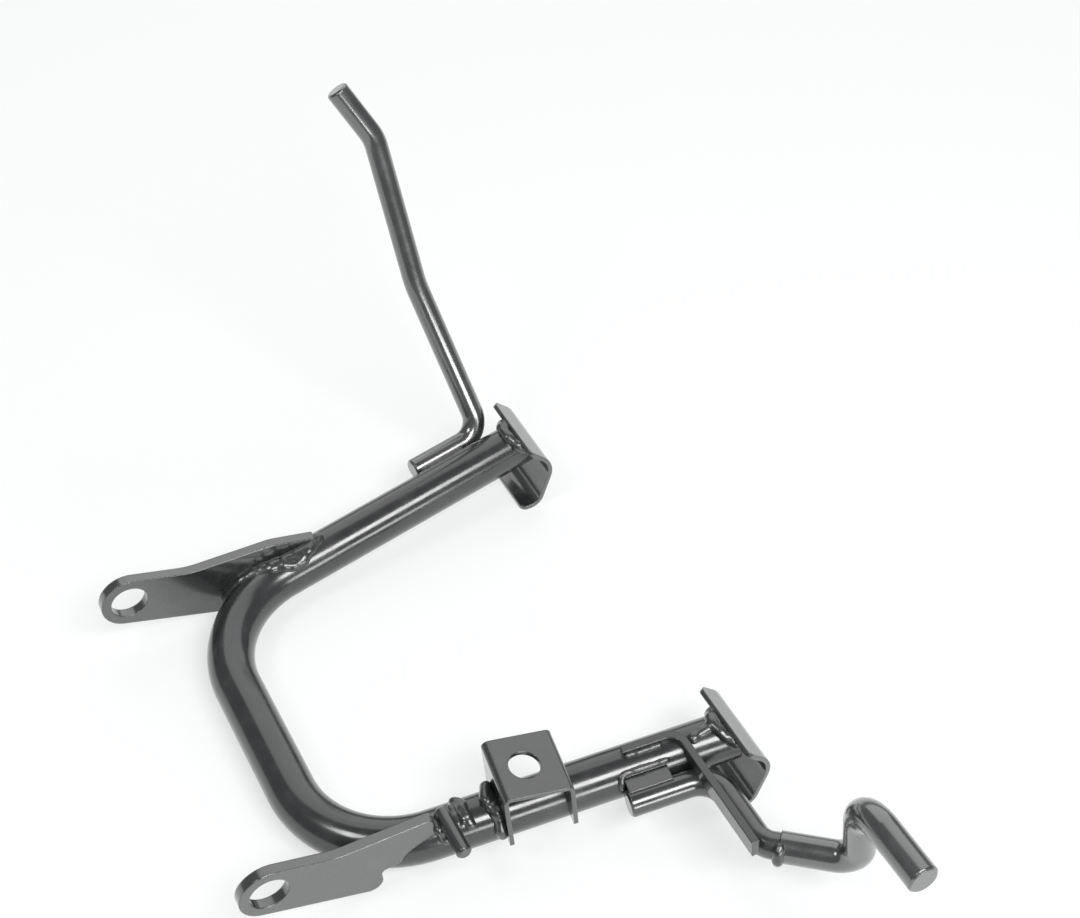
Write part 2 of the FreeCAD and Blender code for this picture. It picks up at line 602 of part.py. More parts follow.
lug_welds = {}
lug_lift = size("lug_bead") * BEAD_LIFT
step_level = size("crossbar_setback") + size("lug_step")
for side, name, tongue in ((FAR, "far_lug_weld", "far_tongue"), (NEAR, "near_lug_weld", "near_tongue")):
    spread = lug_face - lug_lift
    end_level = size("crossbar_setback") + size(tongue) - size("lug_bead")
    levels = (step_level + size("lug_weld_first"), step_level + size("lug_weld_second"), end_level)
    seam = [Vector(step_level, side * spread, leg_end.z)]
    seam += [Vector(level, side * spread, leg_end.z + tube_height(level, spread) + lug_lift)
             for level in levels]
    lug_path = rounded_path(seam, [size("lug_weld_bend")] * 2)
    lug_welds[side] = bead(name, lug_path, "Sizes.lug_bead", tube_skin, lugs[side])

# Weld over the end of each leg, in the corner below the foot's upper flange
flange_normal = Vector(-flange.y, flange.x)
foot_weld_angle = math.radians(size("foot_weld_angle"))
reach = tube_radius + size("foot_bead") - size("bead_sink")
for side, name, bars in ((FAR, "far", [lever]), (NEAR, "near", [arm, strap])):
    points = []
    for angle in (-foot_weld_angle, 0, foot_weld_angle):
        outward = reach * math.sin(angle)
        height = reach * math.cos(angle) - size("pivot_height")
        level = inner_edge.x - (height - inner_edge.y) * flange_normal.y / flange_normal.x
        level -= size("foot_bead") / 2
        points.append(leg_point(side, meet(level, outward), outward, height + size("pivot_height")))
    bead(name + "_foot_weld", arc(*points), "Sizes.foot_bead", tube_skin, feet[side], *bars)

# Welds in the two corners between the far leg and the foot lever
reach, swing = crevice(lever_radius, "lever_bead")
lever_weld_end = lever_corner - size("lever_corner_bend") - size("lever_bead")
for name, angle in (("lever_upper_weld", lever_seat + swing), ("lever_lower_weld", lever_seat - swing)):
    first, last = [leg_point(FAR, along, reach * math.cos(angle), reach * math.sin(angle))
                   for along in (lever_start + size("lever_bead") * BEAD_START, lever_weld_end)]
    bead(name, straight(first, last), "Sizes.lever_bead", tube_skin, lever)

# Weld in the corner below, between the near leg and the arm bar
reach, swing = crevice(arm_radius, "arm_bead")
first, last = [leg_point(NEAR, along, reach * math.cos(swing), -reach * math.sin(swing))
               for along in (arm_start + size("arm_bead") * BEAD_START, gusset_end)]
bead("arm_lower_weld", straight(first, last), "Sizes.arm_bead", tube_skin, arm)

# Weld along the filler plate's inner edge, on the tube
gusset_lift = size("gusset_bead") * BEAD_LIFT
gusset_height = size("gusset_top") + gusset_lift
gusset_edge = math.sqrt(tube_radius ** 2 - gusset_height ** 2) + gusset_lift
first, last = [leg_point(NEAR, along, gusset_edge, gusset_height)
               for along in (gusset_start, gusset_end)]
bead("gusset_weld", straight(first, last), "Sizes.gusset_bead", tube_skin, gusset, arm)

# Weld along the strap's outer side, on top of the tube
strap_lift = size("strap_bead") * BEAD_LIFT
strap_face = size("strap_thickness") / 2 - size("strap_inset") + strap_lift
first, last = [leg_point(NEAR, along, strap_face, tube_radius + strap_lift)
               for along in (strap_start + size("strap_bead"), gusset_end)]
bead("strap_weld", straight(first, last), "Sizes.strap_bead", tube_skin, strap)

# Weld over the butt joint between the arm bar and the peg rod
joint_reach = size("peg_diameter") / 2 + size("peg_bead") - size("peg_weld_bite")
backwards = peg_run.cross(Vector(0, 0, 1)).normalize() * joint_reach
upwards = backwards.cross(peg_run)
peg_weld_turn = (size("peg_weld_from"), (size("peg_weld_from") + size("peg_weld_to")) / 2, size("peg_weld_to"))
peg_arc = arc(*[peg_joint + backwards * math.cos(math.radians(angle)) + upwards * math.sin(math.radians(angle))
                for angle in peg_weld_turn])
bead("peg_weld", peg_arc, "Sizes.peg_bead", arm, strap, peg)

# Welds at the saddle's flanges: a heavy one behind the rear flange, one inside the front flange
flange_gap = size("saddle_weld_bite") - size("saddle_bead")
for name, level in (("saddle_rear", size("saddle_start")),
                    ("saddle_front", saddle_front - size("saddle_sheet"))):
    path = ring(NEAR, level + flange_gap, size(name + "_from"), size(name + "_to"), "saddle_bead")
    bead(name + "_weld", path, "Sizes.saddle_bead", tube_skin, saddle)

# Welds on both sides of the spring pin, on top of the tube
pin_lift = size("pin_bead") * BEAD_LIFT
pin_weld_side = size("pin_diameter") / 2 + pin_lift
for name, ahead in (("pin_front_weld", pin_weld_side), ("pin_rear_weld", -pin_weld_side)):
    middle = pin_middle + Vector(ahead, 0, pin_lift - size("pin_diameter") / 2)
    path = straight(middle, middle - Vector(0, size("pin_diameter"), 0))
    bead(name, path, "Sizes.pin_bead", tube_skin, pin, lugs[NEAR], lug_welds[NEAR])

doc.recompute()
for item in doc.Objects:
    if "Invalid" in item.State or "Error" in item.State:
        raise RuntimeError("%s failed: %s" % (item.Name, item.State))
os.makedirs("parts", exist_ok=True)
for part in subparts:
    if part.Shape.isNull() or not part.Shape.isValid():
        raise RuntimeError("%s has no valid shape" % part.Label)
    print("%-20s solids %d volume %9.1f" % (part.Label, len(part.Shape.Solids), part.Shape.Volume))
    part.Shape.exportStep("parts/%s.step" % part.Label)
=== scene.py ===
"""Studio scene of a motorcycle centre stand: gloss black paint, rough weld beads and a pale table."""
import math

import bpy
from bpy.props import FloatProperty, FloatVectorProperty, IntProperty, PointerProperty
from bpy.types import Operator, Panel, PropertyGroup
from mathutils import Matrix, Quaternion, Vector


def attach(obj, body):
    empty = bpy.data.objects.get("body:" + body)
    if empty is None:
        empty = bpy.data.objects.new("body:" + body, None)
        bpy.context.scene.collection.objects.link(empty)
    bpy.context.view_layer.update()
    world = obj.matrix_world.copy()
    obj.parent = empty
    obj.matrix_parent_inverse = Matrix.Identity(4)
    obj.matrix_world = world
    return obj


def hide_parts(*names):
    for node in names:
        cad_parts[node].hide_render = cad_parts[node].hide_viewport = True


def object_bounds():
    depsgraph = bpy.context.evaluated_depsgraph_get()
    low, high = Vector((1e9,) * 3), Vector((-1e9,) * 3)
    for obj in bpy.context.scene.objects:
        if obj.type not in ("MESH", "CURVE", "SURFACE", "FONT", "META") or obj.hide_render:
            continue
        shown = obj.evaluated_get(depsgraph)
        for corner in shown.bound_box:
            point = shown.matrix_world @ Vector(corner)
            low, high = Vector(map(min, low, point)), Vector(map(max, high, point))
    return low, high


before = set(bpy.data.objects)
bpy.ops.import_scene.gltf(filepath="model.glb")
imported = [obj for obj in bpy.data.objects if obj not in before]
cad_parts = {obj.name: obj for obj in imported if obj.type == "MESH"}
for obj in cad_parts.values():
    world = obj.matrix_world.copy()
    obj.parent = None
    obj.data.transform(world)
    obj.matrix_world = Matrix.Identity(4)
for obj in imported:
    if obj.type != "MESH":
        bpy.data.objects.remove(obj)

bl_info = {
    "name": "Motorcycle centre stand",
    "version": (1, 0, 0),
    "blender": (4, 5, 0),
    "location": "3D View > Sidebar > Centre stand",
    "description": "Paint, weld beads and studio of a welded motorcycle centre stand",
    "category": "Object",
}

CAD_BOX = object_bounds()
FAR = 1
NEAR = -1

# Sizes of the welded frame that the seams follow, in metres and radians
TUBE_RADIUS = 0.0127
PIVOT_HEIGHT = 0.0268
CROSSBAR_SETBACK = 0.0334
LEG_SPREAD = 0.0888
LEG_SPLAY = math.radians(8.14)
LEG_LENGTH = 0.211
BEND_RADIUS = 0.06
LUG_FACE = 0.0982
LUG_STEP = 0.054
SOLE_BACK = 0.0014
SOLE_DROP = 0.033
FLANGE_FOOT = (-0.0035, 0.0132)
FLANGE_NOSE = (0.0114, -0.0036)
SHEET = 0.0025
LEVER_RADIUS = 0.0065
LEVER_SEAT = math.radians(5)
ARM_RADIUS = 0.007
PEG_RADIUS = 0.008
ARM_CORNER = Vector((0.22137, -0.1805, -PIVOT_HEIGHT))
ARM_STUB = 0.009
PEG_RUN = Vector((0.036, -0.0303, -0.0012)).normalized()
PEG_JOINT = ARM_CORNER + PEG_RUN * ARM_STUB
PIN_PLACE = 0.0582
SADDLE_BACK = 0.0838
SADDLE_FRONT = 0.1178

# Turn that lays the stand on its crossbar and its soles
LEG_LEVEL = LEG_LENGTH * math.cos(LEG_SPLAY) - SOLE_BACK
REST_TILT = math.atan2(SOLE_DROP, LEG_LEVEL) - math.asin(TUBE_RADIUS / math.hypot(LEG_LEVEL, SOLE_DROP))
REST = Matrix.Rotation(-REST_TILT, 3, "Y")

# Number of points in a seam of each kind
STRAIGHT_POINTS = 8
ROUND_POINTS = 12
FOOT_POINTS = 14
LUG_POINTS = 16

# Seams: distances from the faces that they join, angles in degrees that they cover, and runs along a leg
LUG_INSET = 0.0008
LUG_LIFT = 0.0006
FOOT_LIFT = 0.0004
FOOT_BACK = 0.0028
FOOT_ANGLE = 62
PEG_SINK = 0.0002
PEG_ANGLES = (-28, 53)
PIN_LIFT = 0.0008
PIN_AHEAD = 0.0048
PIN_SEAM_LENGTH = 0.008
LEVER_WELD = (0.153, 0.179)
ARM_WELD = (0.152, 0.1718)
STRAP_WELD = (0.1535, 0.172)
STRAP_CORNER = (0.0012, 0.0131)

# Paints: roughness added, share of the coat and its index of refraction
TUBE_PAINT = "Gloss black tube"
BAR_PAINT = "Gloss black bar"
PLATE_PAINT = "Thick gloss black"
ROD_PAINT = "High gloss black rod"
PAINTS = {
    TUBE_PAINT: (0.0, 1.0, 1.5),
    BAR_PAINT: (0.0, 1.35, 1.5),
    PLATE_PAINT: (0.02, 1.45, 1.75),
    ROD_PAINT: (0.04, 1.65, 1.95),
}
WELD_PAINT = (0.06, 1.2, 1.5)

# Pieces whose paint isn't the bars' own
PAINT_OF = {
    "main_tube": TUBE_PAINT, "arm_strap": TUBE_PAINT,
    "far_pivot_lug": PLATE_PAINT, "near_pivot_lug": PLATE_PAINT,
    "far_foot_plate": PLATE_PAINT, "near_foot_plate": PLATE_PAINT,
    "foot_lever_rod": ROD_PAINT, "peg_rod": ROD_PAINT,
}

# Patterns in the paint: noise scales, the ranges of noise that show, and spread of the roughness
WAVE_SCALE = 38.0
CLOUD_SCALE = 90.0
SPECK_SCALE = 620.0
PAINT_GRAIN_SCALE = 300.0
WELD_GRAIN_SCALE = 500.0
THIN_RANGE = (0.46, 0.78)
SPECK_RANGE = (0.70, 0.78)
GLOSS_RANGE = (0.3, 0.75)
GLOSS_BELOW = 0.06
GLOSS_ABOVE = 0.08

# Relief and shine of the paint: the waves' depth in depths of the grain, strengths, edges and gloss
WAVE_DEPTH = 4
WAVE_STRENGTH = 0.5
GRAIN_STRENGTH = 0.7
EDGE_SAMPLES = 6
COAT_ROUGHNESS = 0.12
SPECULAR = 0.7

# Weld metal: largest drop, melting, lumps, and the paint's grain on it as a share of the lumps' depth
LARGEST_DROP = 1.12
MELT_STEPS = 34
SKIN_BAND = 0.001
SKIN_LEVEL = 0.1
LUMP_SCALE = 190.0
GRAIN_SHARE = 1 / 16

# Lamps: name, azimuth from +Y towards +X, elevation, distance, width, height and power
LAMPS = (
    ("Back softbox", 30, 42, 2.4, 3.0, 2.6, 26),
    ("Key window", 170, 52, 1.9, 1.15, 0.55, 25),
    ("Low window", 169, 12, 1.9, 1.09, 0.40, 12),
    ("Side window", -94, 56, 1.9, 0.5, 0.5, 7),
)
LAMP_AIM = Vector((0.12, 0, 0))

# Table's half width and its gloss, and the camera's sensor in millimetres
TABLE_REACH = 4.0
TABLE_ROUGHNESS = 0.7
TABLE_SPECULAR = 0.2
SENSOR_WIDTH = 36


class PaintSettings(PropertyGroup):
    """Gloss black paint of the frame."""
    colour: FloatVectorProperty(name="Colour", description="Colour of the paint", subtype="COLOR",
                                default=(0.021, 0.022, 0.0225), min=0, max=1)
    worn: FloatVectorProperty(name="Thin colour", description="Colour where the paint is thin or dusty",
                              subtype="COLOR", default=(0.034, 0.035, 0.036), min=0, max=1)
    gloss: FloatProperty(name="Roughness", description="Mean roughness of the paint", subtype="FACTOR",
                         default=0.23, min=0, max=1)
    coat: FloatProperty(name="Coat", description="Weight of the clear outer layer", subtype="FACTOR",
                        default=0.6, min=0, max=1)
    edge: FloatProperty(name="Rounded edge", description="Radius that the paint gives to sharp edges",
                        unit="LENGTH", default=0.0011, min=0)
    peel: FloatProperty(name="Orange peel", description="Height of the waves in the paint",
                        unit="LENGTH", default=0.000016, min=0)


class WeldSettings(PropertyGroup):
    """Rough beads of weld metal under the paint."""
    pitch: FloatProperty(name="Pitch", default=0.42, min=0.2,
                         description="Distance between two drops, as a share of the bead's radius")
    jitter: FloatProperty(name="Jitter", description="How much the drops differ in size and stray",
                          default=0.18, min=0)
    grain: FloatProperty(name="Grain depth", description="Depth of the roughness on a bead",
                         unit="LENGTH", default=0.0007, min=0)
    voxel: FloatProperty(name="Voxel", description="Fineness of the bead's mesh",
                         unit="LENGTH", default=0.00035, min=0.0001)
    seed: IntProperty(name="Seed", description="Start of the random draws", default=7)


class StageSettings(PropertyGroup):
    """Table, room and camera."""
    table: FloatVectorProperty(name="Table", description="Colour of the table", subtype="COLOR",
                               default=(0.91, 0.94, 0.93), min=0, max=1)
    lift: FloatProperty(name="White share", description="How much of the table shows as plain white",
                        subtype="FACTOR", default=0.6, min=0, max=1)
    surround: FloatVectorProperty(name="Surround", description="Colour of the room", subtype="COLOR",
                                  default=(0.25, 0.255, 0.258), min=0, max=1)
    azimuth: FloatProperty(name="Azimuth", description="Camera's side, counted from looking along Y",
                           subtype="ANGLE", default=math.radians(-27.945))
    elevation: FloatProperty(name="Elevation", description="Camera above the horizon",
                             subtype="ANGLE", default=math.radians(44.574))
    roll: FloatProperty(name="Roll", description="Turn of the camera about its axis",
                        subtype="ANGLE", default=math.radians(1.025))
    distance: FloatProperty(name="Distance", description="Camera to the point that it aims at",
                            unit="LENGTH", default=1.11198)
    aim: FloatVectorProperty(name="Aim", description="Point at the middle of the picture",
                             subtype="XYZ", unit="LENGTH", default=(0.24575, 0.09767, 0))
    lens: FloatProperty(name="Lens", description="Focal length of the camera", unit="CAMERA",
                        default=64.417)


class NodeTree:
    """Short way to add and join nodes."""

    def __init__(self, tree):
        self.tree = tree

    def add(self, kind, settings=None, **inputs):
        """New node with its settings, and its inputs set to values or joined to sockets."""
        node = self.tree.nodes.new(kind)
        for name, value in (settings or {}).items():
            setattr(node, name, value)
        for name, value in inputs.items():
            self.put(node, name.replace("_", " "), value)
        return node

    def put(self, node, name, value):
        """Value or joined socket on a node's input, found by its name or number."""
        if name.isdigit():
            entry = node.inputs[int(name)]
        else:
            entry = next(one for one in node.inputs if one.name == name and one.enabled)
        if isinstance(value, bpy.types.NodeSocket):
            self.tree.links.new(value, entry)
        else:
            entry.default_value = value

    def reckon(self, operation, first, second):
        """Result of a sum on two numbers or sockets."""
        node = self.add("ShaderNodeMath", {"operation": operation}, **{"0": first, "1": second})
        return node.outputs[0]

    def scaled(self, vector, factor):
        """Vector times a number."""
        node = self.add("ShaderNodeVectorMath", {"operation": "SCALE"}, Vector=vector, Scale=factor)
        return node.outputs[0]


def leg_point(side, along, outward=0.0, up=0.0):
    """Point beside a leg: along it from the corner of the tube's axes, outwards and up from its axis."""
    level = CROSSBAR_SETBACK + along * math.cos(LEG_SPLAY) - outward * math.sin(LEG_SPLAY)
    spread = LEG_SPREAD + along * math.sin(LEG_SPLAY) + outward * math.cos(LEG_SPLAY)
    return Vector((level, side * spread, up - PIVOT_HEIGHT))


def meet(level, outward):
    """Distance along a leg at which a line beside it reaches a level."""
    return (level - CROSSBAR_SETBACK + outward * math.sin(LEG_SPLAY)) / math.cos(LEG_SPLAY)


def between(first, last, count):
    """Evenly spaced numbers from the first to the last."""
    return [first + (last - first) * step / (count - 1) for step in range(count)]


def straight(first, last):
    """Seam of one straight run."""
    return [first.lerp(last, share) for share in between(0, 1, STRAIGHT_POINTS)]


def ring(side, along, start, stop, lift):
    """Seam round a leg, from one angle to another, counted in degrees from level outwards to up."""
    reach = TUBE_RADIUS + lift
    return [leg_point(side, along, reach * math.cos(angle), reach * math.sin(angle))
            for angle in between(math.radians(start), math.radians(stop), ROUND_POINTS)]


def beside(side, run, bar_radius, bar_angle, turn, lift):
    """Seam above or below a round bar in its corner with a leg, over one run of the leg."""
    leg_reach = TUBE_RADIUS + lift
    bar_reach = bar_radius + lift
    base = TUBE_RADIUS + bar_radius
    swing = math.acos((leg_reach ** 2 + base ** 2 - bar_reach ** 2) / (2 * leg_reach * base))
    angle = bar_angle + turn * swing
    across, up = leg_reach * math.cos(angle), leg_reach * math.sin(angle)
    return straight(*(leg_point(side, along, across, up) for along in run))


def tube_height(level, spread):
    """Height of the tube's surface above its axis, at a place seen from above."""
    bend_reach = BEND_RADIUS * math.tan((math.pi / 2 - LEG_SPLAY) / 2)
    ahead = level - CROSSBAR_SETBACK
    aside = spread - LEG_SPREAD
    if level > leg_point(FAR, bend_reach).x:
        off = aside * math.cos(LEG_SPLAY) - ahead * math.sin(LEG_SPLAY)
    else:
        off = math.hypot(ahead - BEND_RADIUS, aside + bend_reach) - BEND_RADIUS
    return math.sqrt(max(TUBE_RADIUS ** 2 - off ** 2, 0))


def on_tube(side, places, lift):
    """Seam over the tube through places seen from above, each its level and its spread."""
    return [Vector((level, side * spread, tube_height(level, spread) + lift - PIVOT_HEIGHT))
            for level, spread in places]


def lug_seam(side, tongue, inset=LUG_INSET, lift=LUG_LIFT):
    """Seam between a lug's inner face and the tube: up round the bend, then along the tongue."""
    levels = between(LUG_STEP, CROSSBAR_SETBACK + tongue, LUG_POINTS)
    return on_tube(side, [(level, LUG_FACE - inset) for level in levels], lift)


def on_leg(side, places, lift):
    """Seam over a leg through places on it, each its distance along and its angle in degrees."""
    reach = TUBE_RADIUS + lift
    turns = [(along, math.radians(angle)) for along, angle in places]
    return [leg_point(side, along, reach * math.cos(turn), reach * math.sin(turn)) for along, turn in turns]


def foot_seam(side):
    """Seam over the end of a leg, in the corner below the foot's upper flange."""
    run = Vector((FLANGE_NOSE[0] - FLANGE_FOOT[0], FLANGE_NOSE[1] - FLANGE_FOOT[1])).normalized()
    inner = Vector(FLANGE_FOOT) + Vector((run.y, -run.x)) * SHEET
    end_level = leg_point(side, LEG_LENGTH).x
    reach = TUBE_RADIUS + FOOT_LIFT
    points = []
    for angle in between(math.radians(-FOOT_ANGLE), math.radians(FOOT_ANGLE), FOOT_POINTS):
        outward, up = reach * math.sin(angle), reach * math.cos(angle)
        level = end_level + inner.x + (up - inner.y) * run.x / run.y - FOOT_BACK
        points.append(leg_point(side, meet(level, outward), outward, up))
    return points


def peg_seam():
    """Seam over the butt joint between the arm and the peg."""
    back = PEG_RUN.cross(Vector((0, 0, 1))).normalized()
    up = back.cross(PEG_RUN)
    start, stop = PEG_ANGLES
    return [PEG_JOINT + (back * math.cos(angle) + up * math.sin(angle)) * (PEG_RADIUS - PEG_SINK)
            for angle in between(math.radians(start), math.radians(stop), ROUND_POINTS)]


def pin_seam(ahead):
    """Seam on one side of the spring pin, on top of the leg."""
    middle = leg_point(NEAR, PIN_PLACE, 0, TUBE_RADIUS + PIN_LIFT) + Vector((ahead, 0, 0))
    return straight(middle, middle - Vector((0, PIN_SEAM_LENGTH, 0)))


# The far lug's wide bead seen from above, as levels and spreads: its middle and its toe on the tube
FAR_LUG_MIDDLE = ((0.0700, 0.0968), (0.0780, 0.0958), (0.0850, 0.0948), (0.0910, 0.0944), (0.0970, 0.0962),
                  (0.1030, 0.0976))
FAR_LUG_TOE = ((0.0505, 0.0974), (0.0597, 0.0970), (0.0661, 0.0966), (0.0726, 0.0956), (0.0796, 0.0938),
               (0.0847, 0.0922), (0.0895, 0.0906), (0.0942, 0.0914), (0.0981, 0.0940), (0.1031, 0.0972),
               (0.1075, 0.1002))

# Weld metal heaped on the near leg, as distances along it and angles in degrees from level outwards
NEAR_FOOT_TOE = ((0.1890, 76), (0.1950, 84), (0.2020, 94))
GUSSET_CORNER = ((0.1472, 20), (0.1476, 42), (0.1500, 50), (0.1725, 49))
SADDLE_HEAP = ((0.0812, 74), (0.0808, 92), (0.0822, 108), (0.0835, 120))
PIN_HEAP = ((0.0662, 116), (0.0686, 104), (0.0688, 86), (0.0692, 70), (0.0704, 50))
PIN_BACK_HEAP = ((0.0549, 92), (0.0546, 72), (0.0552, 52), (0.0566, 34))

# Piece, CAD node that it stands for, bead radius and seams
SEAMS = (
    ("far_lug_bead", "far_lug_weld", 0.0041, (
        lug_seam(FAR, 0.0700, LUG_INSET, -0.0022),
        on_tube(FAR, FAR_LUG_MIDDLE, -0.0008),
        on_tube(FAR, FAR_LUG_TOE, -0.0010))),
    ("near_lug_bead", "near_lug_weld", 0.0029, (lug_seam(NEAR, 0.0490), lug_seam(NEAR, 0.0470, 0.0034))),
    ("far_foot_bead", "far_foot_weld", 0.0037, (foot_seam(FAR),)),
    ("near_foot_bead", "near_foot_weld", 0.0035, (foot_seam(NEAR), on_leg(NEAR, NEAR_FOOT_TOE, -0.0012))),
    ("lever_upper_bead", "lever_upper_weld", 0.0024, (
        beside(FAR, LEVER_WELD, LEVER_RADIUS, LEVER_SEAT, 1, 0.0006),)),
    ("lever_lower_bead", "lever_lower_weld", 0.0026, (
        beside(FAR, LEVER_WELD, LEVER_RADIUS, LEVER_SEAT, -1, 0.001),)),
    ("arm_lower_bead", "arm_lower_weld", 0.0026, (beside(NEAR, ARM_WELD, ARM_RADIUS, 0, -1, 0.001),)),
    ("gusset_bead", "gusset_weld", 0.0019, (on_leg(NEAR, GUSSET_CORNER, 0.0004),)),
    ("strap_bead", "strap_weld", 0.0018, (
        straight(*(leg_point(NEAR, along, *STRAP_CORNER) for along in STRAP_WELD)),)),
    ("peg_bead", "peg_weld", 0.0030, (peg_seam(),)),
    ("saddle_rear_bead", "saddle_rear_weld", 0.0036, (
        ring(NEAR, SADDLE_BACK, 6, 96, 0.0008),
        on_leg(NEAR, SADDLE_HEAP, 0.0022))),
    ("saddle_front_bead", "saddle_front_weld", 0.0028, (ring(NEAR, SADDLE_FRONT, 105, 160, 0.0006),)),
    ("pin_front_bead", "pin_front_weld", 0.0036, (pin_seam(PIN_AHEAD), on_leg(NEAR, PIN_HEAP, 0.0004))),
    ("pin_rear_bead", "pin_rear_weld", 0.0029, (pin_seam(-PIN_AHEAD), on_leg(NEAR, PIN_BACK_HEAP, 0.0002))),
)


def new_material(name):
    """Node material with a Principled shader joined to its output, and its nodes."""
    material = bpy.data.materials.new(name)
    material.use_nodes = True
    nodes = NodeTree(material.node_tree)
    material.node_tree.nodes.clear()
    shader = nodes.add("ShaderNodeBsdfPrincipled")
    output = nodes.add("ShaderNodeOutputMaterial", Surface=shader.outputs[0])
    return material, nodes, shader, output


def paint_material(name, settings, grain_scale, grain_depth, roughness, shine, bend):
    """Gloss black paint with orange peel, thin spots, uneven gloss and rounded edges."""
    material, nodes, shader, _ = new_material(name)
    place = nodes.add("ShaderNodeTexCoord").outputs["Object"]
    broad = nodes.add("ShaderNodeTexNoise", Vector=place, Scale=WAVE_SCALE, Detail=2.0)
    cloudy = nodes.add("ShaderNodeTexNoise", Vector=place, Scale=CLOUD_SCALE, Detail=4.0, Roughness=0.6)
    peel = nodes.add("ShaderNodeTexNoise", Vector=place, Scale=grain_scale, Detail=3.0)
    specks = nodes.add("ShaderNodeTexNoise", Vector=place, Scale=SPECK_SCALE, Detail=1.0)

    thin = nodes.add("ShaderNodeMapRange", Value=cloudy.outputs["Fac"],
                     From_Min=THIN_RANGE[0], From_Max=THIN_RANGE[1])
    dust = nodes.add("ShaderNodeMapRange", Value=specks.outputs["Fac"],
                     From_Min=SPECK_RANGE[0], From_Max=SPECK_RANGE[1])
    colour = nodes.add("ShaderNodeMix", {"data_type": "RGBA"},
                       Factor=nodes.reckon("MAXIMUM", thin.outputs[0], dust.outputs[0]),
                       A=(*settings.colour, 1), B=(*settings.worn, 1))
    nodes.put(shader, "Base Color", colour.outputs[2])

    mean = settings.gloss + roughness
    gloss = nodes.add("ShaderNodeMapRange", Value=cloudy.outputs["Fac"],
                      From_Min=GLOSS_RANGE[0], From_Max=GLOSS_RANGE[1],
                      To_Min=mean - GLOSS_BELOW, To_Max=mean + GLOSS_ABOVE)
    nodes.put(shader, "Roughness", gloss.outputs[0])

    rounded = nodes.add("ShaderNodeBevel", {"samples": EDGE_SAMPLES}, Radius=settings.edge)
    waves = nodes.add("ShaderNodeBump", Height=broad.outputs["Fac"], Distance=grain_depth * WAVE_DEPTH,
                      Strength=WAVE_STRENGTH, Normal=rounded.outputs[0])
    fine = nodes.add("ShaderNodeBump", Height=peel.outputs["Fac"], Distance=grain_depth,
                     Strength=GRAIN_STRENGTH, Normal=waves.outputs[0])
    nodes.put(shader, "Normal", fine.outputs[0])
    nodes.put(shader, "Coat Normal", waves.outputs[0])
    nodes.put(shader, "Coat Weight", settings.coat * shine)
    nodes.put(shader, "Coat Roughness", COAT_ROUGHNESS)
    nodes.put(shader, "Coat IOR", bend)
    nodes.put(shader, "Specular IOR Level", min(SPECULAR * shine, 1))
    return material


